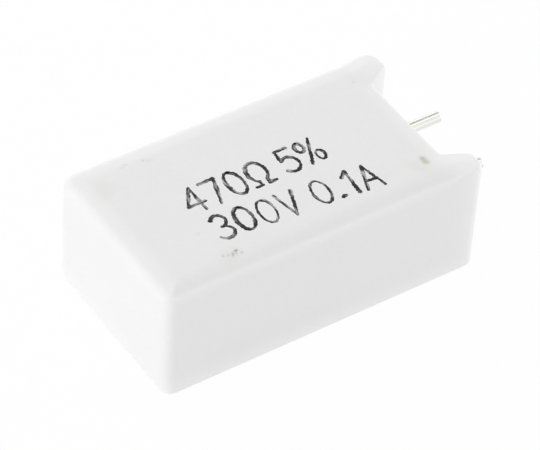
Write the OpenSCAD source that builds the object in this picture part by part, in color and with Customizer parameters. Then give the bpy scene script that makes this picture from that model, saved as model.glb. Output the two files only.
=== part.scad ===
// Upright cement resistor, lying on its open back with the printed face up.
// +X points along the leads, +Z out of the printed face, all sizes in millimetres.

/* [Case] */
// Width of the ceramic case, across both feet
case_w = 13.2; // [12:0.1:16]
// Length of the case, from its closed end to the tips of the feet
case_l = 24.05; // [20:0.05:32]
// Thickness of the case, from its open back to the printed face
case_h = 8.55; // [7:0.05:12]
// Radius of the two upright corners at the closed end
corner_r = 0.8; // [0.3:0.1:2]
// Thickness of the two long walls
side_wall = 1.5; // [1:0.1:2]
// Thickness of the wall at the closed end
end_wall = 1.6; // [1:0.1:2.5]
// Thickness of the wall that the leads leave through
lead_wall = 1.8; // [1:0.1:3]
// Thickness of the plate behind the printed face
face_t = 1.4; // [1:0.1:2]
// Radius of the upright corners inside the trough
trough_r = 0.9; // [0.3:0.1:1.5]

/* [Pressed edge] */
// Width of the narrow land around the printed face
land_w = 0.25; // [0.1:0.05:0.5]
// Width of the soft slope from the land up to the printed face
slope_w = 1.35; // [0.5:0.05:1.5]
// Height of the printed face above the land
slope_h = 0.4; // [0.1:0.05:0.8]

/* [Feet] */
// Length of the two feet, from the floor of the notch between them
foot_l = 1.75; // [1:0.05:3]
// Width of a foot at the floor of the notch
foot_root_w = 2.8; // [2.4:0.05:3.3]
// Width of a foot at its tip, before its corners are rounded
foot_tip_w = 1.75; // [1.4:0.05:2.3]
// Radius of the outer corner of a foot's tip
foot_outer_r = 1; // [0.3:0.05:1.2]
// Radius of the inner corner of a foot's tip
foot_inner_r = 0.4; // [0.2:0.05:0.6]
// Radius of the two corners in the notch
notch_r = 0.3; // [0.1:0.05:0.6]

/* [Leads] */
// Diameter of the tinned lead wire
lead_d = 0.8; // [0.6:0.05:1]
// Distance between the two leads
lead_pitch = 5.08; // [4:0.02:6]
// Length of the straight lead past the feet
lead_reach = 3; // [2:0.1:12]
// How much shorter the returning lead was cut
return_short = 0.2; // [0:0.05:1]
// Gap between a lead and the sides of its slot in the wall
slot_gap = 0.3; // [0.15:0.05:0.5]

/* [Resistance element] */
// Thickness of the pressed steel end caps
cap_wall = 0.25; // [0.15:0.05:0.4]
// Length of an end cap
cap_l = 2.2; // [1.2:0.1:4]
// Thickness of the resistance film
film_t = 0.1; // [0.05:0.05:0.2]
// Turns that the film's spiral band makes
film_turns = 6; // [3:1:12]
// Width of the spiral groove cut through the film
groove_w = 0.45; // [0.2:0.05:0.8]
// Straight wire between the inner end cap and the bend of the returning lead
weld_stub = 0.8; // [0.4:0.1:1.5]

/* [Cement] */
// Depth of the cement below the rim of the case
cement_drop = 0.15; // [0:0.05:0.5]
// Least cover of cement around the element and the bend
cement_cover = 0.4; // [0.2:0.05:0.6]
// Cover of cement between the outer end cap and the lead wall
cap_cover = 0.8; // [0.3:0.1:2]
// Clearance between neighbouring pieces
fit_gap = 0.02; // [0.01:0.01:0.05]

/* [Hidden] */
$fn = 64;
// Past the surface that a cut goes through
over = 0.5;
// The turned cuts of the pressed edge lie this much further out, so they cross the straight ones
cross_gap = 0.005;

// The case along X: closed end, trough, notch and tips of the feet
end_x = -(case_l + lead_reach) / 2;
tip_x = end_x + case_l;
notch_x = tip_x - foot_l;
trough_x0 = end_x + end_wall;
trough_x1 = notch_x - lead_wall;

// Half widths, and the heights of the trough's ceiling and of the leads
half_w = case_w / 2;
trough_half_w = half_w - side_wall;
trough_top = case_h - face_t;
lead_z = case_h / 2;

// The leads, with the straight one and the element on the +Y side
lead_r = lead_d / 2;
bend_r = lead_pitch / 2;
slot_r = lead_r + slot_gap;
// The wire inside the feet has flat sides, so the round stretch beyond them starts at the seat.
// It runs on inside the bend and inside the round stretch, which are thicker by fit_gap.
wire_sides = 12;
wire_r = lead_r - fit_gap;
wire_lap = 0.1;

// The element fills the trough between the bend and the lead wall
bend_x = trough_x0 + cement_cover + lead_r + bend_r;
cap_x0 = bend_x + weld_stub;
cap_x1 = trough_x1 - cap_cover;
rod_x0 = cap_x0 + cap_wall + fit_gap;
rod_x1 = cap_x1 - cap_wall - fit_gap;

// The cap is as round as the cover of cement allows, and the film and rod fit inside it
cap_r = min(trough_half_w - bend_r, trough_top - lead_z, lead_z - cement_drop) - cement_cover;
film_sides = 36;
film_out_r = cap_r - cap_wall - fit_gap;
film_in_r = film_out_r - film_t;
rod_r = film_in_r * cos(180 / film_sides) - fit_gap;
film_pitch = (rod_x1 - rod_x0 + groove_w) / (film_turns + 1);
band_w = film_pitch - groove_w;

// Corners of the case's outline as [x, y, radius], counter-clockwise from above
case_corners = [
    [end_x, -half_w, corner_r],
    [tip_x, -half_w, foot_outer_r],
    [tip_x, foot_tip_w - half_w, foot_inner_r],
    [notch_x, foot_root_w - half_w, notch_r],
    [notch_x, half_w - foot_root_w, notch_r],
    [tip_x, half_w - foot_tip_w, foot_inner_r],
    [tip_x, half_w, foot_outer_r],
    [end_x, half_w, corner_r]
];

// Corners of the trough, drawn in by a gap for what fills it
function trough_corners(gap) = [
    [trough_x0 + gap, gap - trough_half_w, trough_r - gap],
    [trough_x1 - gap, gap - trough_half_w, trough_r - gap],
    [trough_x1 - gap, trough_half_w - gap, trough_r - gap],
    [trough_x0 + gap, trough_half_w - gap, trough_r - gap]
];

// Section cut away above the slope, as [distance from the side, height]: a parabola in steps.
// Its first and last steps run straight on, below the land and through the printed face.
slope_steps = 4;
land_z = case_h - slope_h;
first_rise = slope_h * (2 - 1 / slope_steps) / slope_w;
function below_land(part) = [land_w * (1 - part), land_z - first_rise * land_w * part];
slope_section = concat(
    [[-over, case_h + over], [-over, below_land(0.6).y], below_land(0.6)],
    [for (i = [1 : slope_steps + 1]) let (s = i / slope_steps)
        if (i != slope_steps)
            [land_w + slope_w * s, case_h - slope_h * (1 - s) * abs(1 - s)]],
    [[land_w + slope_w * (1 + 1 / slope_steps), case_h + over]]
);

// Geometry of the rounded corner i: where its arc starts and ends, its centre and its radius
function at(c, i) = [c[(i + len(c)) % len(c)].x, c[(i + len(c)) % len(c)].y];
function unit(v) = v / norm(v);
function back_way(c, i) = unit(at(c, i - 1) - at(c, i));
function next_way(c, i) = unit(at(c, i + 1) - at(c, i));
function half_angle(c, i) = acos(back_way(c, i) * next_way(c, i)) / 2;
function arc_start(c, i) = at(c, i) + back_way(c, i) * c[i].z / tan(half_angle(c, i));
function arc_end(c, i) = at(c, i) + next_way(c, i) * c[i].z / tan(half_angle(c, i));
function arc_centre(c, i) = at(c, i)
    + unit(back_way(c, i) + next_way(c, i)) * c[i].z / sin(half_angle(c, i));
function is_outward(c, i) = cross(next_way(c, i), back_way(c, i)) > 0;
function direction(v) = atan2(v.y, v.x);

// A flat outline with its corners rounded by true arcs
module rounded_outline(c) {
    difference() {
        union() {
            polygon([for (i = [0 : len(c) - 1]) each [arc_start(c, i), arc_end(c, i)]]);
            for (i = [0 : len(c) - 1])
                if (is_outward(c, i))
                    translate(arc_centre(c, i)) circle(c[i].z);
        }
        for (i = [0 : len(c) - 1])
            if (!is_outward(c, i))
                translate(arc_centre(c, i)) circle(c[i].z);
    }
}

// How far a straight cut runs on past corner i, and a turned cut in degrees
function run_past(c, i) = is_outward(c, i) ? 0.25 : 0.015;
function turn_past(c, i) = is_outward(c, i) ? 3 : 20;

// A section carried along the straight edge that follows corner i
module edge_run(c, i, section) {
    k = (i + 1) % len(c);
    start = arc_end(c, i);
    stop = arc_start(c, k);
    translate(start)
        rotate(direction(stop - start))
            translate([-run_past(c, i), 0, 0])
                rotate([90, 0, 90])
                    linear_extrude(norm(stop - start) + run_past(c, i) + run_past(c, k))
                        polygon(section);
}

// The same section turned around the arc of corner i
module edge_turn(c, i, section) {
    side = is_outward(c, i) ? -1 : 1;
    first = is_outward(c, i) ? arc_start(c, i) : arc_end(c, i);
    sweep = 180 - 2 * half_angle(c, i);
    translate(arc_centre(c, i))
        rotate(direction(first - arc_centre(c, i)) - turn_past(c, i))
            rotate_extrude(angle = sweep + 2 * turn_past(c, i))
                intersection() {
                    polygon([for (p = section) [c[i].z + cross_gap + side * p.x, p.y]]);
                    square([case_w, 2 * case_h]);
                }
}

// A bar along X at the height of the leads, round unless it is given few sides
module bar(x0, x1, y, r, sides = $fn) {
    translate([x0, y, lead_z])
        rotate([0, 90, 0])
            cylinder(h = x1 - x0, r = r, $fn = sides);
}

// The slots that let the leads into the trough from its open back
module lead_slots(x0, x1, z0, gap) {
    for (y = [-bend_r, bend_r]) {
        bar(x0, x1, y, slot_r - gap);
        translate([x0, y - slot_r + gap, z0])
            cube([x1 - x0, 2 * (slot_r - gap), lead_z - z0]);
    }
}

// The wire of the returning lead: out of the inner end cap, half a turn, and back to x1
module return_wire(x1, r, sides = $fn) {
    bar(bend_x - wire_lap, cap_x0, bend_r, r, sides);
    translate([bend_x, 0, lead_z])
        rotate(90)
            rotate_extrude(angle = 180)
                translate([bend_r, 0]) circle(r + fit_gap);
    bar(bend_x - wire_lap, x1, -bend_r, r, sides);
}

// A pressed cup with its mouth up
module end_cap() {
    difference() {
        cylinder(h = cap_l, r = cap_r);
        translate([0, 0, cap_wall]) cylinder(h = cap_l, r = cap_r - cap_wall);
    }
}

// The printed face with its slope all around, rooted in the case below the land
module raised_face() {
    root_z = below_land(0.3).y;
    difference() {
        translate([0, 0, root_z])
            linear_extrude(case_h - root_z) rounded_outline(case_corners);
        for (i = [0 : len(case_corners) - 1]) {
            edge_run(case_corners, i, slope_section);
            edge_turn(case_corners, i, slope_section);
        }
    }
}

module ceramic_case() {
    color("white")
        difference() {
            union() {
                linear_extrude(land_z) rounded_outline(case_corners);
                raised_face();
            }
            translate([0, 0, -over])
                linear_extrude(trough_top + over) rounded_outline(trough_corners(0));
            lead_slots(trough_x1 - over, notch_x + over, -over, 0);
        }
}

module cement_fill() {
    color("gainsboro")
        difference() {
            union() {
                translate([0, 0, cement_drop])
                    linear_extrude(trough_top - fit_gap - cement_drop)
                        rounded_outline(trough_corners(fit_gap));
                lead_slots(trough_x1 - over, notch_x - cement_drop, cement_drop, fit_gap);
            }
            bar(cap_x0 - fit_gap, cap_x0 + cap_l + fit_gap, bend_r, cap_r + fit_gap);
            bar(cap_x1 - cap_l - fit_gap, cap_x1 + fit_gap, bend_r, cap_r + fit_gap);
            bar(cap_x0, cap_x1, bend_r, film_out_r + fit_gap);
            bar(cap_x1, tip_x, bend_r, lead_r + fit_gap);
            return_wire(tip_x, lead_r + fit_gap);
        }
}

module core_rod() {
    color("ivory") bar(rod_x0, rod_x1, bend_r, rod_r);
}

// One band wound around the rod, four points to each step
module resistance_film() {
    steps = film_turns * film_sides;
    section = [[0, film_in_r], [band_w, film_in_r], [band_w, film_out_r], [0, film_out_r]];
    points = [for (i = [0 : steps], p = section)
        let (a = 360 * i / film_sides)
            [rod_x0 + film_pitch * i / film_sides + p.x,
             bend_r + p.y * cos(a),
             lead_z + p.y * sin(a)]];
    sides = [for (i = [0 : steps - 1], k = [0 : 3])
        [4 * i + k, 4 * i + (k + 1) % 4, 4 * i + 4 + (k + 1) % 4, 4 * i + 4 + k]];
    ends = [[3, 2, 1, 0], [for (k = [0 : 3]) 4 * steps + k]];
    color("dimgray") polyhedron(points, concat(sides, ends));
}

module inner_end_cap() {
    color("silver") translate([cap_x0, bend_r, lead_z]) rotate([0, 90, 0]) end_cap();
}

module outer_end_cap() {
    color("silver") translate([cap_x1, bend_r, lead_z]) rotate([0, -90, 0]) end_cap();
}

module lead_straight() {
    color("lightsteelblue") {
        bar(cap_x1, tip_x + wire_lap, bend_r, wire_r, wire_sides);
        bar(tip_x, tip_x + lead_reach, bend_r, lead_r);
    }
}

module lead_return() {
    color("lightsteelblue") {
        return_wire(tip_x + wire_lap, wire_r, wire_sides);
        bar(tip_x, tip_x + lead_reach - return_short, -bend_r, lead_r);
    }
}

ceramic_case();
cement_fill();
core_rod();
resistance_film();
inner_end_cap();
outer_end_cap();
lead_straight();
lead_return();
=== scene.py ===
"""Cement resistor: its looks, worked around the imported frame.

Shapes are worked out in millimetres and put into metres when their mesh is made. x runs to the tips
of the leads, y to the side of the longer lead, and z out of the printed face.
"""
import math

import bpy
import numpy as np
from mathutils import Matrix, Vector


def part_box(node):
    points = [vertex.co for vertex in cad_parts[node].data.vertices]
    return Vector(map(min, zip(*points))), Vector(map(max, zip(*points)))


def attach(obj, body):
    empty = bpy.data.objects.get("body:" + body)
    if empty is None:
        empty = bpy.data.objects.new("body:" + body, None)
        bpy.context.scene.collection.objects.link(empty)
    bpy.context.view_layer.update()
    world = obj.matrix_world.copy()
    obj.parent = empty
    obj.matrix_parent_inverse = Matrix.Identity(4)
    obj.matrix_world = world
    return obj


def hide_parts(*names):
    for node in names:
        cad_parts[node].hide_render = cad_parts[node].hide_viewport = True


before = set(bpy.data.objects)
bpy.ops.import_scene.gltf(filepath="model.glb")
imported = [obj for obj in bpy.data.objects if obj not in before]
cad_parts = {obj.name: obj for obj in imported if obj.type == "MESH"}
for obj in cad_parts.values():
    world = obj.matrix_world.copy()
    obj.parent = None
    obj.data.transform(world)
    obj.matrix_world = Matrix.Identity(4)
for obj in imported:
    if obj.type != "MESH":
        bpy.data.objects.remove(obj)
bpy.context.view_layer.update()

MM = 0.001

# Chance, for the ink alone and the same at each run
rng = np.random.default_rng(15)


def box_mm(node):
    """Lowest and highest corner of a CAD node, in millimetres."""
    low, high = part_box(node)
    return np.array(low) / MM, np.array(high) / MM


# The case, from the frame and from the sizes that the part's source names
case_low, case_high = box_mm("ceramic_case")
END_X = case_low[0]
TIP_X = case_high[0]
HALF_W = case_high[1]
CASE_H = case_high[2]
CORNER_R = 0.8
FOOT_L = 1.75
FOOT_ROOT_W = 2.8
FOOT_TIP_W = 1.75
FOOT_OUTER_R = 1.0
FOOT_INNER_R = 0.4
NOTCH_R = 0.3
NOTCH_X = TIP_X - FOOT_L
LAND_W = 0.25
SLOPE_W = 1.35
SLOPE_H = 0.4

# The trough in its back, the slots that the leads leave through, and how far the blocks that cut
# them out reach past the case
SIDE_WALL = 1.5
END_WALL = 1.6
LEAD_WALL = 1.8
FACE_T = 1.4
TROUGH_R = 0.9
TROUGH_X0 = END_X + END_WALL
TROUGH_X1 = NOTCH_X - LEAD_WALL
TROUGH_HALF_W = HALF_W - SIDE_WALL
TROUGH_TOP = CASE_H - FACE_T
SLOT_GAP = 0.3
PAST = 0.5

# The leads, the rounding of their cut tips, and where the even rings before it end
straight_low, straight_high = box_mm("lead_straight")
return_low, return_high = box_mm("lead_return")
LEAD_R = (straight_high[2] - straight_low[2]) / 2
LEAD_Z = (straight_high[2] + straight_low[2]) / 2
BEND_R = (straight_high[1] + straight_low[1]) / 2
BEND_X = return_low[0] + LEAD_R + BEND_R
SLOT_R = LEAD_R + SLOT_GAP
TIP_R = 0.09
TIP_START = 0.1

# The ink's thickness. The face lies below the top of the box by that and a hair more.
INK_T = 0.008
INK_ROOM = 0.003
FACE_Z = CASE_H - INK_T - INK_ROOM

# Softness that pressing and firing leave. The slope runs on over the land up to the outer edge, a
# little steeper than the straight one, by SLOPE_GAIN. It keeps one tilt as far as its foot line,
# and runs into the face over about SLOPE_SOFT on both sides of it. The line lies SLOPE_FADE times
# as far short of the straight slope's top. The outer edge rolls over into the wall, within
# ROLL_INSET, and the rim is rounded.
SLOPE_SOFT = 0.17
SLOPE_FADE = 2.2
SLOPE_GAIN = 1.12
SLOPE_FOOT = LAND_W + SLOPE_W - SLOPE_FADE * SLOPE_SOFT
SLOPE_RISE = SLOPE_GAIN * SLOPE_H / SLOPE_FOOT
ROLL_INSET = 0.28
RIM_R = 0.08

# Out along the feet the slope grows shallower: down to what share of it, how far before the notch
# that starts, and over what length
FEET_SHARE = 0.4
FEET_LEAD = 1.5
FEET_RUN = FOOT_L + 1.0

# Painted highlight: a paler line round the face, along the rolled edge. How strong, how far in from
# the side, how wide to either side, how far down the wall, and over what height it fades out there.
EDGE_PAINTED_HIGHLIGHT = 0.55
EDGE_HIGHLIGHT_IN = 0.29
EDGE_HIGHLIGHT_WIDE = 0.18
EDGE_HIGHLIGHT_DOWN = 1.1
EDGE_HIGHLIGHT_FADE = 0.3

# Painted light on the feet, paler and paler towards their tips: how strong, how far before the
# notch that starts, over what length, and how much later on the walls than on top
FEET_PAINTED_LIGHT = 0.55
FEET_LIGHT_LEAD = 1.5
FEET_LIGHT_RUN = FOOT_L + 0.2
FEET_LIGHT_LATE = 0.9

# Painted light at the base of the walls, paler towards the floor: how high, the power by which
# that falls off, and its share on the end walls, where it is less than on the sides
BASE_LIGHT_H = 2.2
BASE_LIGHT_POWER = 2.5
BASE_LIGHT_ENDS = 0.35


def unit(v):
    """The vector at length one."""
    return v / np.linalg.norm(v)


def smooth_step(value, start, run):
    """From 0 at start to 1 a run later: three squares less two cubes of the way gone."""
    t = np.clip((value - start) / run, 0, 1)
    return t * t * (3 - 2 * t)


def linear(hex_colour):
    """An sRGB hex colour as linear red, green, blue and alpha."""
    srgb = np.array([int(hex_colour[i:i + 2], 16) for i in (1, 3, 5)]) / 255
    rgb = np.where(srgb <= 0.04045, srgb / 12.92, ((srgb + 0.055) / 1.055) ** 2.4)
    return (*rgb.tolist(), 1.0)


def per_mm(size):
    """Texture scale that makes a pattern's features about size millimetres wide."""
    return 1 / (size * MM)


def add(tree, kind, inputs=None, **settings):
    """Adds one node. Settings go to its properties, inputs to its sockets, as links or values."""
    node = tree.nodes.new(kind)
    for key, value in settings.items():
        setattr(node, key, value)
    for key, value in (inputs or {}).items():
        if isinstance(value, bpy.types.NodeSocket):
            tree.links.new(value, node.inputs[key])
        else:
            node.inputs[key].default_value = value
    return node


def new_material(name):
    """A material, and its node tree with nothing in it."""
    material = bpy.data.materials.new(name)
    material.use_nodes = True
    material.node_tree.nodes.clear()
    return material, material.node_tree


def make_object(name, vertices, faces, material):
    """A smooth-shaded mesh object at the origin, from vertices in millimetres."""
    mesh = bpy.data.meshes.new(name)
    mesh.from_pydata((np.asarray(vertices) * MM).tolist(), [], faces)
    mesh.shade_smooth()
    mesh.materials.append(material)
    obj = bpy.data.objects.new(name, mesh)
    bpy.context.scene.collection.objects.link(obj)
    return obj


def grid_quads(rows, columns):
    """Quads of a grid whose vertices run row by row.

    They face the side from which the way along a row turns left into the way to the next row.
    """
    corner = np.arange(rows - 1)[:, None] * columns + np.arange(columns - 1)
    quads = np.stack([corner, corner + 1, corner + columns + 1, corner + columns], axis=2)
    return quads.reshape(-1, 4)


def ring_quads(rings):
    """Quads from each closed ring of vertex numbers to the next, where each row is a ring.

    They face outwards where the rings turn left, seen from the first one's side.
    """
    upper = rings[:-1]
    lower = rings[1:]
    quads = np.stack([upper, lower, np.roll(lower, -1, axis=1), np.roll(upper, -1, axis=1)], axis=2)
    return quads.reshape(-1, 4)


def tube_faces(rings):
    """Faces of a closed tube: the quads between its rings, and one face on each end."""
    return ring_quads(rings).tolist() + [rings[0].tolist(), rings[-1][::-1].tolist()]


# Materials

def pressed_ceramic():
    """Dry-pressed, fired and unglazed steatite: chalk white, matt and finely grained.

    Painted light and shade: paler along the rolled edge, on the feet and at the base of the walls,
    and darker in the pits. The pressed powder's grain is about 0.1 mm, and is drawn at 0.3 mm so
    that it shows.
    """
    material, tree = new_material("pressed_ceramic")
    place = add(tree, "ShaderNodeTexCoord").outputs["Object"]
    clouds = add(tree, "ShaderNodeTexNoise", {"Vector": place, "Scale": per_mm(6), "Detail": 2.0})
    grain = add(tree, "ShaderNodeTexNoise", {"Vector": place, "Scale": per_mm(0.3), "Detail": 4.0})
    body = add(tree, "ShaderNodeMix", {
        "Factor": clouds.outputs["Fac"], "A": linear("#EEEEEE"), "B": linear("#F1F1F1"),
    }, data_type="RGBA")
    speckled = add(tree, "ShaderNodeMix", {
        "Factor": grain.outputs["Fac"], "A": linear("#FAFAFA"), "B": linear("#FFFFFF"),
    }, data_type="RGBA")
    white = add(tree, "ShaderNodeMix", {
        "Factor": 1.0, "A": body.outputs["Result"], "B": speckled.outputs["Result"],
    }, data_type="RGBA", blend_type="MULTIPLY")

    # Painted light at the base of the walls, by height and by how far the wall faces sideways
    place_axes = add(tree, "ShaderNodeSeparateXYZ", {"Vector": place})
    near_floor = add(tree, "ShaderNodeMapRange", {
        "Value": place_axes.outputs["Z"], "From Min": 0.0, "From Max": BASE_LIGHT_H * MM,
        "To Min": 1.0, "To Max": 0.0,
    })
    low = add(tree, "ShaderNodeMath", {
        0: near_floor.outputs["Result"], 1: BASE_LIGHT_POWER,
    }, operation="POWER")
    normal = add(tree, "ShaderNodeNewGeometry").outputs["Normal"]
    normal_axes = add(tree, "ShaderNodeSeparateXYZ", {"Vector": normal})
    sideways = add(tree, "ShaderNodeMath", {0: normal_axes.outputs["Y"]}, operation="ABSOLUTE")
    side_share = add(tree, "ShaderNodeMapRange", {
        "Value": sideways.outputs["Value"], "To Min": BASE_LIGHT_ENDS, "To Max": 1.0,
    })
    base_painted_light = add(tree, "ShaderNodeMath", {
        0: low.outputs["Value"], 1: side_share.outputs["Result"],
    }, operation="MULTIPLY")
    # Painted light on the edge and feet, read from the piece, and at the wall bases, worked out
    # here
    edge_and_feet_light = add(tree, "ShaderNodeAttribute", attribute_name="painted_light")
    painted_light = add(tree, "ShaderNodeMath", {
        0: edge_and_feet_light.outputs["Fac"], 1: base_painted_light.outputs["Value"],
    }, operation="MAXIMUM")

    stain = add(tree, "ShaderNodeAttribute", attribute_name="stain")
    # Painted shade: the pits darker
    pit_shade = add(tree, "ShaderNodeAttribute", attribute_name="pit_shade")
    colour = white.outputs["Result"]
    # Tints: painted light (paler edge, feet and wall bases), a real stain, and painted shade in the
    # pits
    for share, tint in ((painted_light.outputs["Value"], "#F8F8F8"),
                        (stain.outputs["Fac"], "#CCCDB2"),
                        (pit_shade.outputs["Fac"], "#9C9D92")):
        tinted = add(tree, "ShaderNodeMix", {
            "Factor": share, "A": colour, "B": linear(tint),
        }, data_type="RGBA")
        colour = tinted.outputs["Result"]
    relief = add(tree, "ShaderNodeBump", {
        "Height": grain.outputs["Fac"], "Strength": 0.25, "Distance": 0.02 * MM,
    })
    shader = add(tree, "ShaderNodeBsdfPrincipled", {
        "Base Color": colour, "Roughness": 0.62, "IOR": 1.6, "Normal": relief.outputs["Normal"],
    })
    add(tree, "ShaderNodeOutputMaterial", {"Surface": shader.outputs["BSDF"]})
    return material


def cured_cement():
    """Cast silica cement, cured in the trough: grey white, dull and sandy, with open pores, painted
    darker as shade in them.

    Its sand is about 0.1 mm, and is drawn at 0.35 mm so that it shows.
    """
    material, tree = new_material("cured_cement")
    place = add(tree, "ShaderNodeTexCoord").outputs["Object"]
    sand = add(tree, "ShaderNodeTexNoise", {"Vector": place, "Scale": per_mm(0.35), "Detail": 6.0})
    patches = add(tree, "ShaderNodeTexNoise", {"Vector": place, "Scale": per_mm(3), "Detail": 3.0})
    pores = add(tree, "ShaderNodeTexVoronoi", {"Vector": place, "Scale": per_mm(0.7)})
    solid = add(tree, "ShaderNodeMapRange", {
        "Value": pores.outputs["Distance"], "From Min": 0.12, "From Max": 0.2,
        "To Min": 0.0, "To Max": 1.0,
    })
    tone = add(tree, "ShaderNodeMix", {
        "Factor": patches.outputs["Fac"], "A": linear("#CFCBC2"), "B": linear("#DFDCD5"),
    }, data_type="RGBA")
    # Painted shade: the pores darker than the cement round them
    pores_shaded = add(tree, "ShaderNodeMix", {
        "Factor": solid.outputs["Result"], "A": linear("#A8A39A"), "B": tone.outputs["Result"],
    }, data_type="RGBA")
    height = add(tree, "ShaderNodeMath", {
        0: sand.outputs["Fac"], 1: solid.outputs["Result"],
    }, operation="ADD")
    relief = add(tree, "ShaderNodeBump", {
        "Height": height.outputs["Value"], "Strength": 0.6, "Distance": 0.06 * MM,
    })
    shader = add(tree, "ShaderNodeBsdfPrincipled", {
        "Base Color": pores_shaded.outputs["Result"], "Roughness": 0.9, "IOR": 1.5,
        "Normal": relief.outputs["Normal"],
    })
    add(tree, "ShaderNodeOutputMaterial", {"Surface": shader.outputs["BSDF"]})
    return material


def rod_ceramic():
    """Extruded alumina rod: ivory and matt, with faint lines along it from the die.

    The lines are finer than 0.1 mm, and are drawn at 0.2 mm so that they show.
    """
    material, tree = new_material("rod_ceramic")
    place = add(tree, "ShaderNodeTexCoord").outputs["Object"]
    along = add(tree, "ShaderNodeMapping", {"Vector": place, "Scale": (0.05, 1.0, 1.0)})
    lines = add(tree, "ShaderNodeTexNoise", {
        "Vector": along.outputs["Vector"], "Scale": per_mm(0.2), "Detail": 3.0,
    })
    tone = add(tree, "ShaderNodeMix", {
        "Factor": lines.outputs["Fac"], "A": linear("#E3DAC4"), "B": linear("#EFE8D6"),
    }, data_type="RGBA")
    shader = add(tree, "ShaderNodeBsdfPrincipled", {
        "Base Color": tone.outputs["Result"], "Roughness": 0.6, "IOR": 1.7,
    })
    add(tree, "ShaderNodeOutputMaterial", {"Surface": shader.outputs["BSDF"]})
    return material


def oxide_film():
    """Tin oxide film fired onto the rod: slate grey with a satin face, clouded over 0.8 mm."""
    material, tree = new_material("oxide_film")
    place = add(tree, "ShaderNodeTexCoord").outputs["Object"]
    haze = add(tree, "ShaderNodeTexNoise", {"Vector": place, "Scale": per_mm(0.8), "Detail": 3.0})
    tone = add(tree, "ShaderNodeMix", {
        "Factor": haze.outputs["Fac"], "A": linear("#3A3B40"), "B": linear("#53545A"),
    }, data_type="RGBA")
    shader = add(tree, "ShaderNodeBsdfPrincipled", {
        "Base Color": tone.outputs["Result"], "Roughness": 0.35, "IOR": 2.0,
    })
    add(tree, "ShaderNodeOutputMaterial", {"Surface": shader.outputs["BSDF"]})
    return material


def cap_steel():
    """Nickel-plated steel cup: bright grey with fine draw marks along it from the press.

    The marks are some hundredths of a millimetre, and are drawn at 0.12 mm so that they show.
    """
    material, tree = new_material("cap_steel")
    place = add(tree, "ShaderNodeTexCoord").outputs["Object"]
    along = add(tree, "ShaderNodeMapping", {"Vector": place, "Scale": (0.08, 1.0, 1.0)})
    marks = add(tree, "ShaderNodeTexNoise", {
        "Vector": along.outputs["Vector"], "Scale": per_mm(0.12), "Detail": 3.0,
    })
    rough = add(tree, "ShaderNodeMapRange", {
        "Value": marks.outputs["Fac"], "From Min": 0.3, "From Max": 0.7,
        "To Min": 0.25, "To Max": 0.42,
    })
    shader = add(tree, "ShaderNodeBsdfPrincipled", {
        "Base Color": linear("#C4C3BE"), "Metallic": 1.0, "Roughness": rough.outputs["Result"],
    })
    add(tree, "ShaderNodeOutputMaterial", {"Surface": shader.outputs["BSDF"]})
    return material


def tinned_wire():
    """Copper-clad wire dipped in tin: silver white and bright, with slow runs along its coat."""
    material, tree = new_material("tinned_wire")
    place = add(tree, "ShaderNodeTexCoord").outputs["Object"]
    along = add(tree, "ShaderNodeMapping", {"Vector": place, "Scale": (0.15, 1.0, 1.0)})
    runs = add(tree, "ShaderNodeTexNoise", {
        "Vector": along.outputs["Vector"], "Scale": per_mm(0.25), "Detail": 3.0,
    })
    tone = add(tree, "ShaderNodeMix", {
        "Factor": runs.outputs["Fac"], "A": linear("#E4E4DF"), "B": linear("#EEEEEA"),
    }, data_type="RGBA")
    rough = add(tree, "ShaderNodeMapRange", {
        "Value": runs.outputs["Fac"], "From Min": 0.3, "From Max": 0.7,
        "To Min": 0.2, "To Max": 0.28,
    })
    relief = add(tree, "ShaderNodeBump", {
        "Height": runs.outputs["Fac"], "Strength": 0.15, "Distance": 0.02 * MM,
    })
    shader = add(tree, "ShaderNodeBsdfPrincipled", {
        "Base Color": tone.outputs["Result"], "Metallic": 1.0, "Roughness": rough.outputs["Result"],
        "Normal": relief.outputs["Normal"],
    })
    add(tree, "ShaderNodeOutputMaterial", {"Surface": shader.outputs["BSDF"]})
    return material


def stamp_ink():
    """Black stamping ink, thin on a rough face: charcoal, with grey streaks along each stroke.

    The stroke attribute holds millimetres along and across a stroke, so the streaks' scale is one
    over their width in millimetres.
    """
    material, tree = new_material("stamp_ink")
    streak_w = 0.13
    stroke = add(tree, "ShaderNodeAttribute", attribute_name="stroke")
    drawn = add(tree, "ShaderNodeMapping", {
        "Vector": stroke.outputs["Vector"], "Scale": (0.22, 1.0, 1.0),
    })
    streaks = add(tree, "ShaderNodeTexNoise", {
        "Vector": drawn.outputs["Vector"], "Scale": 1 / streak_w, "Detail": 2.0, "Roughness": 0.5,
    })
    place = add(tree, "ShaderNodeTexCoord").outputs["Object"]
    patches = add(tree, "ShaderNodeTexNoise", {
        "Vector": place, "Scale": per_mm(1.1), "Detail": 1.0,
    })
    patch_share = 0.7
    lack = add(tree, "ShaderNodeMath", {
        0: patches.outputs["Fac"], 1: patch_share, 2: streaks.outputs["Fac"],
    }, operation="MULTIPLY_ADD")
    thin = add(tree, "ShaderNodeMapRange", {
        "Value": lack.outputs["Value"], "From Min": 0.82, "From Max": 1.08,
        "To Min": 0.0, "To Max": 1.0,
    })
    tone = add(tree, "ShaderNodeMix", {
        "Factor": thin.outputs["Result"], "A": linear("#161617"), "B": linear("#B4B4B4"),
    }, data_type="RGBA")
    shader = add(tree, "ShaderNodeBsdfPrincipled", {
        "Base Color": tone.outputs["Result"], "Roughness": 0.7, "IOR": 1.45,
    })
    add(tree, "ShaderNodeOutputMaterial", {"Surface": shader.outputs["BSDF"]})
    return material


# The case

# How finely it is drawn: points round a corner of its outline, rows from the middle to the feet's
# outer corners and over these corners, points along a row, and rings down the roll of the edge, the
# wall and the rim, each with the one it starts from
CORNER_STEPS = 14
FLAT_ROWS = 66
CORNER_ROWS = 15
ROW_POINTS = 281
ROLL_RINGS = 12
WALL_RINGS = 9
RIM_RINGS = 6
ARCH_STEPS = 25


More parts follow.
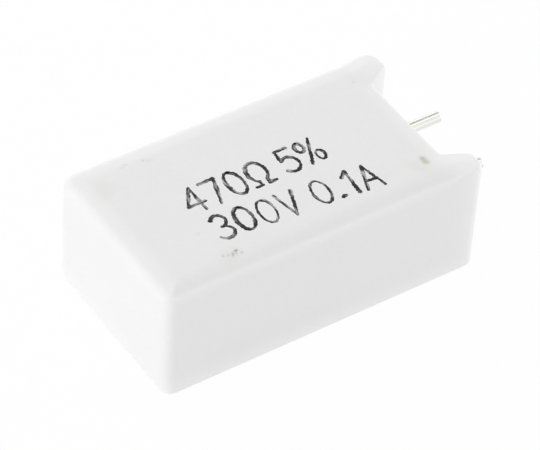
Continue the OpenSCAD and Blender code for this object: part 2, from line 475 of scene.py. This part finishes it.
def rounded(before, corner, after, radius):
    """The arc that rounds a corner: its two end radii blended by sines, about the arc's centre."""
    back = unit(before - corner)
    onward = unit(after - corner)
    half = np.arccos(back @ onward) / 2
    centre = corner + unit(back + onward) * radius / np.sin(half)
    first = corner + back * radius / np.tan(half) - centre
    last = corner + onward * radius / np.tan(half) - centre
    turn = np.pi - 2 * half
    t = np.linspace(0, 1, CORNER_STEPS)[:, None]
    return centre + (np.sin((1 - t) * turn) * first + np.sin(t * turn) * last) / np.sin(turn)


def half_outline(inset):
    """Both ends of the case over half its width, drawn in by inset.

    The points are x and the distance from the middle. Straight lines join the rounded corners.
    """
    side = HALF_W - inset
    flank = unit(np.array([FOOT_L, FOOT_ROOT_W - FOOT_TIP_W]))
    root = np.array([NOTCH_X, HALF_W - FOOT_ROOT_W]) + inset * np.array([-flank[1], flank[0]])
    on_flank = [np.array([x, root[1] + (x - root[0]) * flank[1] / flank[0]])
                for x in (NOTCH_X - inset, TIP_X - inset)]
    notch_middle = np.array([NOTCH_X - inset, 0.0])
    tip_corner = np.array([TIP_X - inset, side])
    side_middle = np.array([0.0, side])
    end_middle = np.array([END_X + inset, 0.0])
    end_corner = np.array([END_X + inset, side])
    right = np.concatenate([
        [notch_middle],
        rounded(notch_middle, on_flank[0], on_flank[1], NOTCH_R + inset),
        rounded(on_flank[0], on_flank[1], tip_corner, FOOT_INNER_R - inset),
        rounded(on_flank[1], tip_corner, side_middle, FOOT_OUTER_R - inset)])
    left = np.concatenate([
        [end_middle], rounded(end_middle, end_corner, side_middle, CORNER_R - inset)])
    return left, right


def distance_inside(x, y):
    """Distance of points from the case's outline: the least over the outline's straight pieces."""
    left, right = half_outline(0.0)
    half = np.concatenate([right, left[::-1]])
    points = np.stack([x, np.abs(y)], axis=-1)
    least = np.full(x.shape, np.inf)
    for start, stop in zip(half[:-1], half[1:]):
        run = stop - start
        t = np.clip(((points - start) @ run) / (run @ run), 0, 1)
        least = np.minimum(least, np.linalg.norm(points - start - t[..., None] * run, axis=-1))
    return least


def slope_rise(x):
    """Rise of the slope along the case: even, then less over the feet, by a smooth step."""
    return SLOPE_RISE * (1 - (1 - FEET_SHARE) * smooth_step(x, NOTCH_X - FEET_LEAD, FEET_RUN))


def pressed_edge(x, d):
    """Height over the distance from the side: a straight slope, then from its foot line the face.

    The two run into each other as the logarithm of the sum of their exponentials.
    """
    return FACE_Z - slope_rise(x) * SLOPE_SOFT * np.logaddexp(0, (SLOPE_FOOT - d) / SLOPE_SOFT)


# Marks on the printed face: x, y, half length, half width, turn in degrees, depth of the pit,
# how grey it is, which is painted shade in the pit, and how yellow
MARKS = [
    (7.27, -3.82, 0.21, 0.17, 5, 0.03, 0.36, 0.25),
    (7.28, -4.13, 0.36, 0.23, 95, 0.06, 0.12, 0.85),
    (7.10, -4.27, 0.17, 0.12, 60, 0.03, 0.05, 0.45),
    (6.72, -4.38, 0.75, 0.50, -60, 0.00, 0.00, 0.13),
    (-8.57, -4.88, 0.12, 0.08, 80, 0.02, 0.38, 0.05),
    (-8.25, -4.99, 0.11, 0.08, 30, 0.02, 0.36, 0.10),
    (-7.94, -5.04, 0.19, 0.10, 65, 0.03, 0.60, 0.10),
    (-7.61, -4.86, 0.14, 0.09, -10, 0.04, 1.00, 0.10),
    (-7.70, -5.06, 0.12, 0.07, 80, 0.03, 0.55, 0.10),
    (-7.36, -5.17, 0.14, 0.10, 20, 0.02, 0.32, 0.05),
    (-8.05, -4.95, 0.75, 0.55, 10, 0.00, 0.00, 0.15),
    (-9.50, 5.16, 0.22, 0.06, -25, 0.01, 0.30, 0.00),
    (-9.83, 5.08, 0.22, 0.06, -28, 0.01, 0.20, 0.00),
    (-8.31, 4.98, 0.15, 0.11, -60, 0.01, 0.20, 0.00),
    (-7.99, 4.78, 0.16, 0.10, -25, 0.01, 0.20, 0.00),
    (7.55, 4.42, 0.10, 0.07, 0, 0.02, 0.25, 0.05),
    (-8.83, -2.45, 0.14, 0.08, 0, 0.01, 0.12, 0.05),
    (-11.90, 3.80, 0.90, 0.75, 35, 0.00, 0.00, 0.10),
]

# Their colour stays above this height, out of the trough and off the lower walls
MARKS_LOWEST = TROUGH_TOP + 0.5


def mark_shapes(x, y):
    """Each mark as a flat-topped bell, turned in the face: one array a mark.

    The bell is the exponential of less the cube of the distance from its middle, as measured in
    half lengths and half widths.
    """
    for mark_x, mark_y, long, wide, turn, depth, grey, yellow in MARKS:
        a = math.radians(turn)
        along = (x - mark_x) * math.cos(a) + (y - mark_y) * math.sin(a)
        across = (y - mark_y) * math.cos(a) - (x - mark_x) * math.sin(a)
        yield np.exp(-((along / long) ** 2 + (across / wide) ** 2) ** 1.5), depth, grey, yellow


def case_surface():
    """The case without its trough, as vertices and faces.

    The top is a grid: each row runs from end to end of the outline, and its height follows the
    pressed edge. From its border a section rolls over the edge, down the wall and round the rim.
    """
    left, right = half_outline(ROLL_INSET)
    corner = FOOT_OUTER_R - ROLL_INSET
    side = HALF_W - ROLL_INSET
    flat_rows = np.linspace(0, side - corner, FLAT_ROWS)
    corner_rows = side - corner + corner * np.sin(np.linspace(0, np.pi / 2, CORNER_ROWS)[1:])
    half_rows = np.concatenate([flat_rows, corner_rows])
    y = np.concatenate([-half_rows[:0:-1], half_rows])
    x_left = np.interp(np.abs(y), left[:, 1], left[:, 0])
    x_right = np.interp(np.abs(y), right[:, 1], right[:, 0])
    u = np.linspace(0, 1, ROW_POINTS)
    x = x_left[:, None] + (x_right - x_left)[:, None] * u
    y = np.repeat(y[:, None], ROW_POINTS, axis=1)
    z = pressed_edge(x, distance_inside(x, y))
    for shape, depth, _, _ in mark_shapes(x, y):
        z -= depth * shape
    vertices = np.stack([x, y, z], axis=2).reshape(-1, 3)

    number = np.arange(x.size).reshape(x.shape)
    border = np.concatenate([number[0, :-1], number[:-1, -1], number[-1, :0:-1], number[:0:-1, 0]])
    vertices[border, 2] = pressed_edge(vertices[border, 0], ROLL_INSET)
    loop = vertices[border]
    ahead = np.roll(loop, -1, axis=0) - np.roll(loop, 1, axis=0)
    outward = np.stack([ahead[:, 1], -ahead[:, 0]], axis=1)
    outward /= np.linalg.norm(outward, axis=1)[:, None]

    start = np.arctan(slope_rise(loop[:, 0]))
    roll_r = ROLL_INSET / (1 - np.sin(start))
    tilt = start + (np.pi / 2 - start) * np.linspace(0, 1, ROLL_RINGS)[1:, None]
    roll_out = roll_r * (np.sin(tilt) - np.sin(start))
    roll_z = loop[:, 2] - roll_r * (np.cos(start) - np.cos(tilt))
    wall_z = roll_z[-1] + (RIM_R - roll_z[-1]) * np.linspace(0, 1, WALL_RINGS)[1:, None]
    wall_out = np.full(wall_z.shape, ROLL_INSET)
    quarter = np.linspace(0, np.pi / 2, RIM_RINGS)[1:, None]
    even = np.ones(len(loop))
    rim_z = RIM_R * (1 - np.sin(quarter)) * even
    rim_out = (ROLL_INSET - RIM_R * (1 - np.cos(quarter))) * even
    out = np.concatenate([roll_out, wall_out, rim_out])
    height = np.concatenate([roll_z, wall_z, rim_z])
    rings_xy = loop[:, :2] + outward * out[:, :, None]
    rings = np.concatenate([rings_xy, height[:, :, None]], axis=2)

    ring_number = len(vertices) + np.arange(height.size).reshape(height.shape)
    faces = grid_quads(*x.shape).tolist()
    faces += ring_quads(np.concatenate([[border], ring_number])).tolist()
    faces.append(ring_number[-1][::-1].tolist())
    return np.concatenate([vertices, rings.reshape(-1, 3)]), faces


def prism(lower, upper, first=0):
    """A closed block between two like rings of points, with its vertices numbered from first."""
    number = first + np.arange(len(lower))
    return np.concatenate([lower, upper]), tube_faces(np.stack([number + len(lower), number]))


def trough_block():
    """What the trough takes out: its rounded outline, carried up from below the rim."""
    corners = np.array([[TROUGH_X0, -TROUGH_HALF_W], [TROUGH_X1, -TROUGH_HALF_W],
                        [TROUGH_X1, TROUGH_HALF_W], [TROUGH_X0, TROUGH_HALF_W]])
    outline = np.concatenate([
        rounded(corners[i - 1], corners[i], corners[(i + 1) % 4], TROUGH_R) for i in range(4)])
    return prism(np.insert(outline, 2, -PAST, axis=1), np.insert(outline, 2, TROUGH_TOP, axis=1))


def slot_blocks():
    """What the two slots take out: an arch of the slot's width, carried through the lead wall."""
    turn = np.linspace(0, np.pi, ARCH_STEPS)
    arch = np.concatenate([
        [[-SLOT_R, -PAST], [SLOT_R, -PAST]],
        np.stack([SLOT_R * np.cos(turn), LEAD_Z + SLOT_R * np.sin(turn)], axis=1)])
    vertices = np.zeros((0, 3))
    faces = []
    for y in (-BEND_R, BEND_R):
        ends = [np.insert(arch + [y, 0], 0, x, axis=1) for x in (TROUGH_X1 - PAST, NOTCH_X + PAST)]
        block, block_faces = prism(*ends, first=len(vertices))
        vertices = np.concatenate([vertices, block])
        faces += block_faces
    return vertices, faces


def cut(piece, cutters):
    """Takes closed blocks out of a piece, and keeps the result as its mesh."""
    for cutter in cutters:
        step = piece.modifiers.new(cutter.name, "BOOLEAN")
        step.object = cutter
        step.operation = "DIFFERENCE"
        step.solver = "EXACT"
    shaped = piece.evaluated_get(bpy.context.evaluated_depsgraph_get())
    mesh = bpy.data.meshes.new_from_object(shaped)
    piece.modifiers.clear()
    piece.data = mesh
    for cutter in cutters:
        bpy.data.objects.remove(cutter)


def keep_marks(piece):
    """Writes the marks of the printed face, with painted shade in its pits, and the painted
    highlight along the edge and painted light on the feet onto the piece's points.

    They are attributes that its material reads. The painted highlight is a bell over the distance
    from the side, and fades out down the wall. The feet are painted paler and paler towards their
    tips, by a smooth step that starts earlier on top than on the walls.
    """
    mesh = piece.data
    co = np.zeros(len(mesh.vertices) * 3)
    mesh.vertices.foreach_get("co", co)
    x, y, z = co.reshape(-1, 3).T / MM
    stain = np.zeros(len(x))
    pit_shade = np.zeros(len(x))
    # The grey is painted shade in the pits, the yellow a real stain
    for shape, _, grey, yellow in mark_shapes(x, y):
        pit_shade = np.maximum(pit_shade, grey * shape)
        stain = np.maximum(stain, yellow * shape)
    on_face = z > MARKS_LOWEST
    depth = CASE_H - z
    # Painted highlight: a paler line along the rolled edge, fading out down the wall
    edge = np.exp(-((distance_inside(x, y) - EDGE_HIGHLIGHT_IN) / EDGE_HIGHLIGHT_WIDE) ** 2)
    edge *= np.clip((EDGE_HIGHLIGHT_DOWN - depth) / EDGE_HIGHLIGHT_FADE, 0, 1)
    # Painted light on the feet: paler towards their tips
    late = np.clip(depth, 0, FEET_LIGHT_LATE)
    feet = smooth_step(x - late, NOTCH_X - FEET_LIGHT_LEAD, FEET_LIGHT_RUN)
    painted_light = np.maximum(EDGE_PAINTED_HIGHLIGHT * edge, FEET_PAINTED_LIGHT * feet)
    for name, values in (("stain", stain * on_face), ("pit_shade", pit_shade * on_face), ("painted_light", painted_light)):
        attribute = mesh.attributes.new(name, "FLOAT", "POINT")
        attribute.data.foreach_set("value", values)


# The leads

# How finely they are drawn: points round the wire, along each straight run, round the bend, along
# the stub between the inner cap and the bend, and over a rounded tip
WIRE_SIDES = 32
STRAIGHT_STEPS = 60
RETURN_STEPS = 120
BEND_STEPS = 49
STUB_STEPS = 8
TIP_STEPS = 8


def wire(path, radius):
    """A round wire along a level path: circles across it of these radii, a face on each end."""
    ahead = np.gradient(path, axis=0)
    ahead /= np.linalg.norm(ahead, axis=1)[:, None]
    across = np.stack([-ahead[:, 1], ahead[:, 0], np.zeros(len(path))], axis=1)
    up = np.array([0, 0, 1.0])
    a = np.linspace(0, 2 * np.pi, WIRE_SIDES, endpoint=False)[:, None]
    circles = np.cos(a) * across[:, None, :] + np.sin(a) * up
    rings = path[:, None, :] + radius[:, None, None] * circles
    number = np.arange(len(path) * WIRE_SIDES).reshape(len(path), WIRE_SIDES)
    return rings.reshape(-1, 3), tube_faces(number[::-1])


def run_to_tip(start, tip, steps):
    """Places along a straight run: even steps, then closer ones by a sine over the rounded tip."""
    rounding = tip - TIP_R * (1 - np.sin(np.linspace(0, np.pi / 2, TIP_STEPS)))
    return np.concatenate([np.linspace(start, tip - TIP_START, steps), rounding])


def cut_tip(x, tip):
    """Radius along a wire that ends at tip: full, then less by a quarter circle at its end."""
    back = np.clip((tip - x) / TIP_R, 0, 1)
    return LEAD_R - TIP_R * (1 - np.sqrt(1 - (1 - back) ** 2))


def straight_lead():
    """The lead from the outer end cap straight out to its cut tip."""
    tip = straight_high[0]
    x = run_to_tip(straight_low[0], tip, STRAIGHT_STEPS)
    path = np.stack([x, np.full_like(x, BEND_R), np.full_like(x, LEAD_Z)], axis=1)
    return wire(path, cut_tip(x, tip))


def return_lead():
    """The lead from the inner end cap, back round a half circle, and out beside the other."""
    inner_cap_x = box_mm("inner_end_cap")[0][0]
    tip = return_high[0]
    stub_x = np.linspace(inner_cap_x, BEND_X, STUB_STEPS)[:-1]
    turn = np.linspace(np.pi / 2, 3 * np.pi / 2, BEND_STEPS)
    out_x = run_to_tip(BEND_X, tip, RETURN_STEPS)[1:]
    x = np.concatenate([stub_x, BEND_X + BEND_R * np.cos(turn), out_x])
    y = np.concatenate([
        np.full_like(stub_x, BEND_R), BEND_R * np.sin(turn), np.full_like(out_x, -BEND_R)])
    path = np.stack([x, y, np.full_like(x, LEAD_Z)], axis=1)
    radius = np.concatenate([np.full(len(x) - len(out_x), LEAD_R), cut_tip(out_x, tip)])
    return wire(path, radius)


# The stamped figures

ARC_STEPS = 28


def line(*points):
    """A straight stroke through the given points."""
    return np.array(points, float)


def arc(centre, radii, start, stop):
    """A round stroke: the centre plus the radii times cosine and sine, from start to stop.

    Both are in degrees.
    """
    t = np.radians(np.linspace(start, stop, ARC_STEPS))
    return np.stack([centre[0] + radii[0] * np.cos(t), centre[1] + radii[1] * np.sin(t)], axis=1)


# Plain figures and units as strokes in a cell one high, with the width that each takes
FIGURES = {
    "0": (0.54, [arc((0.27, 0.5), (0.26, 0.49), 80, 440)]),
    "1": (0.3, [line((0.02, 0.76), (0.23, 0.98)), line((0.23, 0.98), (0.23, 0.0))]),
    "3": (0.52, [arc((0.24, 0.745), (0.23, 0.245), 155, -90),
                 arc((0.24, 0.25), (0.27, 0.25), 90, -150)]),
    "4": (0.58, [line((0.42, 0.0), (0.42, 0.98)), line((0.42, 0.98), (0.0, 0.3)),
                 line((0.0, 0.3), (0.57, 0.3))]),
    "5": (0.52, [line((0.48, 0.97), (0.09, 0.97)), line((0.09, 0.97), (0.05, 0.55)),
                 arc((0.24, 0.315), (0.275, 0.315), 128, -145)]),
    "7": (0.52, [line((0.0, 0.97), (0.51, 0.97)), line((0.51, 0.97), (0.18, 0.0))]),
    "Ω": (0.68, [arc((0.33, 0.56), (0.3, 0.42), -62, 242), line((0.471, 0.19), (0.45, 0.02)),
                 line((0.45, 0.02), (0.66, 0.02)), line((0.189, 0.19), (0.21, 0.02)),
                 line((0.21, 0.02), (0.0, 0.02))]),
    "%": (0.7, [arc((0.14, 0.76), (0.13, 0.2), 90, 450), line((0.58, 0.98), (0.12, 0.0)),
                arc((0.55, 0.22), (0.13, 0.2), 90, 450)]),
    "V": (0.58, [line((0.0, 0.98), (0.28, 0.0)), line((0.28, 0.0), (0.56, 0.98))]),
    "A": (0.6, [line((0.0, 0.0), (0.29, 0.98)), line((0.29, 0.98), (0.58, 0.0)),
                line((0.1, 0.34), (0.48, 0.34))]),
    ".": (0.14, [line((0.05, 0.05), (0.09, 0.06))]),
    " ": (0.12, []),
}

# Rows of figures: the text, the left and right end of its foot line, and the figures' height
ROWS = [
    ("470Ω 5%", (-8.1, -0.85), (2.2, -0.75), 2.2),
    ("300V 0.1A", (-7.8, -3.65), (3.9, -4.6), 2.15),
]

# How far a figure leans and sits off its row at most, and how far each of its strokes lies over the
# one before
LEAN = 0.03
DROP = 0.05
STROKE_LIFT = 0.0004

# A stroke's usual width, the shares of it that a stroke may have, a dot's share, the step along it,
# the fewest steps, and the share of its width that is left at its very end
STROKE_W = 0.27
STROKE_SHARES = (0.75, 1.15)
DOT_SHARE = 1.6
STROKE_STEP = 0.04
FEWEST_STEPS = 9
END_SHARE = 0.02

# How its width wavers: by a slow press and by a ragged edge, each with its share and its length
PRESS_SHARE = 0.3
PRESS_LENGTH = 0.6
RAGGED_SHARE = 0.3
RAGGED_LENGTH = 0.08

# Its section, a low ridge of six points: their share of the half width, and height over the face
RIDGE_ACROSS = np.array([-1.0, -0.6, 0.0, 0.6, 1.0, 0.0])
RIDGE_HEIGHT = np.array([-0.002, INK_T, INK_T, INK_T, -0.002, -0.01])

# Each stroke's streaks start somewhere else, within this length
STREAK_SHIFT = 50

# Past a stroke's ends its way ahead has no length, and is divided by this instead
TINY = 1e-9


def smooth_noise(s, size):
    """Random values along s that change over about size millimetres, within one either way."""
    knots = np.arange(s[0] - size, s[-1] + 2 * size, size)
    return np.interp(s, knots, rng.uniform(-1, 1, len(knots)))


def ink_stroke(points, lift, first):
    """One stroke of ink: a flat ribbon with round ends along the points, numbered from first.

    Its half width is the usual one times a slow press and a fine ragged edge, for each side anew,
    and at the ends times the half circle of a cap. The ridge is carried along it. With vertices and
    faces come each vertex's millimetres along and across the stroke.
    """
    step = np.linalg.norm(np.diff(points, axis=0), axis=1)
    length = np.concatenate([[0], np.cumsum(step)])
    total = length[-1]
    half = STROKE_W / 2 * (rng.uniform(*STROKE_SHARES) if total > STROKE_W else DOT_SHARE)
    s = np.linspace(-half, total + half, max(int((total + 2 * half) / STROKE_STEP), FEWEST_STEPS))
    inside = np.clip(s, 0, total)
    middle = np.stack([np.interp(inside, length, points[:, i]) for i in (0, 1)], axis=1)
    ahead = np.gradient(middle, axis=0)
    ahead /= np.maximum(np.linalg.norm(ahead, axis=1), TINY)[:, None]
    start_way = unit(points[1] - points[0])
    stop_way = unit(points[-1] - points[-2])
    ahead[s <= 0] = start_way
    ahead[s >= total] = stop_way
    middle += np.minimum(s, 0)[:, None] * start_way + np.maximum(s - total, 0)[:, None] * stop_way
    past_end = np.maximum(np.maximum(-s, s - total), 0) / half
    cap = np.sqrt(np.maximum(1 - past_end ** 2, END_SHARE ** 2))
    press = 1 + PRESS_SHARE * smooth_noise(s, PRESS_LENGTH)
    left, right = [half * cap * press * (1 + RAGGED_SHARE * smooth_noise(s, RAGGED_LENGTH))
                   for _ in (0, 1)]
    offset = RIDGE_ACROSS * np.where(RIDGE_ACROSS < 0, left[:, None], right[:, None])
    across = np.stack([-ahead[:, 1], ahead[:, 0]], axis=1)
    xy = middle[:, None, :] + offset[:, :, None] * across[:, None, :]
    z = np.broadcast_to(FACE_Z + RIDGE_HEIGHT + lift, offset.shape)
    vertices = np.concatenate([xy, z[:, :, None]], axis=2)
    number = first + np.arange(offset.size).reshape(offset.shape)
    along = np.broadcast_to(s[:, None] + rng.uniform(0, STREAK_SHIFT), offset.shape)
    stroke = np.stack([along, offset, np.zeros_like(offset)], axis=2)
    return vertices.reshape(-1, 3), tube_faces(number), stroke.reshape(-1, 3)


def stamped_rows():
    """All strokes of both rows: each figure set along its row's foot line, a little out of true."""
    vertices = []
    faces = []
    strokes = []
    count = 0
    for text, left, right, height in ROWS:
        left = np.array(left)
        right = np.array(right)
        row_way = unit(right - left)
        up_way = np.array([-row_way[1], row_way[0]])
        widths = np.array([FIGURES[letter][0] for letter in text])
        room = np.linalg.norm(right - left) - widths.sum() * height
        gap = room / (len(text) - 1)
        at = 0.0
        for letter in text:
            width, drawn = FIGURES[letter]
            lean = LEAN * rng.uniform(-1, 1)
            drop = DROP * rng.uniform(-1, 1)
            for order, points in enumerate(drawn):
                lying = points * height + [at, drop]
                lying[:, 0] += points[:, 1] * lean
                on_face = left + lying[:, :1] * row_way + lying[:, 1:] * up_way
                made, made_faces, made_strokes = ink_stroke(on_face, STROKE_LIFT * order, count)
                vertices.append(made)
                faces += made_faces
                strokes.append(made_strokes)
                count += len(made)
            at += width * height + gap
    return np.concatenate(vertices), faces, np.concatenate(strokes)


# Pieces, each riding on the one body; the case and the leads stand for their nodes

# Edges that turn by more than this many degrees stay crisp
CASE_CRISP = 40
LEAD_CRISP = 50

ceramic = pressed_ceramic()
ceramic_case = make_object("pressed_case", *case_surface(), ceramic)
trough = make_object("trough_block", *trough_block(), ceramic)
slots = make_object("slot_blocks", *slot_blocks(), ceramic)
cut(ceramic_case, [trough, slots])
ceramic_case.data.set_sharp_from_angle(angle=math.radians(CASE_CRISP))
keep_marks(ceramic_case)
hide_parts("ceramic_case")

tin = tinned_wire()
for name, node, surface in (("straight_wire", "lead_straight", straight_lead()),
                            ("return_wire", "lead_return", return_lead())):
    lead = make_object(name, *surface, tin)
    lead.data.set_sharp_from_angle(angle=math.radians(LEAD_CRISP))
    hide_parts(node)
    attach(lead, "root")

ink_vertices, ink_faces, ink_strokes = stamped_rows()
marking = make_object("stamped_figures", ink_vertices, ink_faces, stamp_ink())
stroke_attribute = marking.data.attributes.new("stroke", "FLOAT_VECTOR", "POINT")
stroke_attribute.data.foreach_set("vector", ink_strokes.ravel())

for piece in (ceramic_case, marking):
    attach(piece, "root")

steel = cap_steel()
for node, material in (("cement_fill", cured_cement()),
                       ("core_rod", rod_ceramic()),
                       ("resistance_film", oxide_film()),
                       ("inner_end_cap", steel),
                       ("outer_end_cap", steel)):
    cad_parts[node].data.materials.clear()
    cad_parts[node].data.materials.append(material)


# Stage: floor, light and camera

# The floor's half length, its height, a hair below the rim, and how far the eye sees it as white
FLOOR_HALF = 600
FLOOR_Z = -0.02
FLOOR_GLOW = 0.94

# The world's light on the object, as a share of white, and how far off the lamps and the card stand
WORLD_LIGHT = 0.672
STAND_OFF = 300

# Strip lamps: name, azimuth and elevation in degrees, share of white, width and height
STRIP_LAMPS = [
    ("left_strip", 268, 10, 0.285, 300, 90),
    ("back_strip", 180, 25, 0.25, 300, 90),
    ("right_strip", 74, 8, 0.285, 300, 90),
    ("front_strip", 20, 10, 0.022, 300, 90),
    ("top_strip", 0, 90, 0.125, 400, 150),
]
CARD_POINTS = 61


def seen_by_eye(tree):
    """One for rays straight from the camera, off a mirror or through glass, and else nought."""
    ray = add(tree, "ShaderNodeLightPath")
    seen = ray.outputs["Is Camera Ray"]
    for kind in ("Is Glossy Ray", "Is Transmission Ray"):
        either = add(tree, "ShaderNodeMath", {0: seen, 1: ray.outputs[kind]}, operation="MAXIMUM")
        seen = either.outputs["Value"]
    return seen


def studio_floor():
    """White paper floor: plain to the light, nearly self-lit to the eye, so only shadow shows."""
    material, tree = new_material("studio_floor")
    share = add(tree, "ShaderNodeMath", {0: seen_by_eye(tree), 1: FLOOR_GLOW}, operation="MULTIPLY")
    paper = add(tree, "ShaderNodeBsdfDiffuse", {"Color": linear("#FDFDFD")})
    white = add(tree, "ShaderNodeEmission", {"Color": linear("#FFFFFF"), "Strength": 1.0})
    mixed = add(tree, "ShaderNodeMixShader", {
        "Fac": share.outputs["Value"], 1: paper.outputs["BSDF"], 2: white.outputs["Emission"],
    })
    add(tree, "ShaderNodeOutputMaterial", {"Surface": mixed.outputs["Shader"]})
    return material


def strip_lamp(name, azimuth, elevation, share, width, height):
    """A lamp that faces the object, and adds that share of white to a face turned to it.

    Its power is that share times the square of pi times its distance.
    """
    lamp = bpy.data.lights.new(name, "AREA")
    lamp.shape = "RECTANGLE"
    lamp.size = width * MM
    lamp.size_y = height * MM
    lamp.energy = share * (math.pi * STAND_OFF * MM) ** 2
    obj = bpy.data.objects.new(name, lamp)
    bpy.context.scene.collection.objects.link(obj)
    obj.matrix_world = (Matrix.Rotation(math.radians(azimuth), 4, "Z")
                        @ Matrix.Rotation(math.radians(90 - elevation), 4, "X")
                        @ Matrix.Translation((0, 0, STAND_OFF * MM)))


def grey_band(name, azimuth, spread, low, high, grey):
    """A grey card bent round the object from one elevation to another, for the wire to mirror.

    It is part of an upright cylinder: sine and cosine of the azimuth, over a straight height.
    """
    material, tree = new_material(name)
    paper = add(tree, "ShaderNodeBsdfDiffuse", {"Color": linear(grey)})
    add(tree, "ShaderNodeOutputMaterial", {"Surface": paper.outputs["BSDF"]})
    a = np.radians(azimuth + np.linspace(-spread / 2, spread / 2, CARD_POINTS))
    ring = np.stack([np.sin(a), -np.cos(a), np.zeros_like(a)], axis=1) * STAND_OFF
    edges = [ring + [0, 0, STAND_OFF * math.tan(math.radians(edge))] for edge in (low, high)]
    card = make_object(name, np.concatenate(edges), grid_quads(2, CARD_POINTS).tolist(), material)
    card.visible_camera = False
    card.visible_diffuse = False
    card.visible_shadow = False


floor_corners = [(-FLOOR_HALF, -FLOOR_HALF, FLOOR_Z), (FLOOR_HALF, -FLOOR_HALF, FLOOR_Z),
                 (FLOOR_HALF, FLOOR_HALF, FLOOR_Z), (-FLOOR_HALF, FLOOR_HALF, FLOOR_Z)]
floor = make_object("floor", floor_corners, [[0, 1, 2, 3]], studio_floor())

world = bpy.data.worlds.new("studio")
bpy.context.scene.world = world
world.use_nodes = True
world.node_tree.nodes.clear()
strength = add(world.node_tree, "ShaderNodeMapRange", {
    "Value": seen_by_eye(world.node_tree), "To Min": WORLD_LIGHT, "To Max": 1.0,
})
sky = add(world.node_tree, "ShaderNodeBackground", {
    "Color": linear("#FFFFFF"), "Strength": strength.outputs["Result"],
})
add(world.node_tree, "ShaderNodeOutputWorld", {"Surface": sky.outputs["Background"]})

for strip in STRIP_LAMPS:
    strip_lamp(*strip)
grey_band("back_card", azimuth=180, spread=180, low=36, high=67, grey="#D2D2D2")

# The camera stands where the photo's edges put it, and sees nothing nearer than CAMERA_NEAR
PHOTO_WIDTH_PX = 540
FOCAL_PX = 3347
CAMERA_AT = (-93.182, -125.405, 153.725)
CAMERA_AZIMUTH = -36.144
CAMERA_LEAN = 45.988
CAMERA_ROLL = 4.04
CAMERA_NEAR = 10
camera = bpy.data.objects.new("camera", bpy.data.cameras.new("camera"))
bpy.context.scene.collection.objects.link(camera)
camera.data.lens = camera.data.sensor_width * FOCAL_PX / PHOTO_WIDTH_PX
camera.data.clip_start = CAMERA_NEAR * MM
camera.matrix_world = (Matrix.Translation([p * MM for p in CAMERA_AT])
                       @ Matrix.Rotation(math.radians(CAMERA_AZIMUTH), 4, "Z")
                       @ Matrix.Rotation(math.radians(CAMERA_LEAN), 4, "X")
                       @ Matrix.Rotation(math.radians(CAMERA_ROLL), 4, "Z"))
bpy.context.scene.camera = camera
bpy.context.scene.view_settings.view_transform = "Standard"
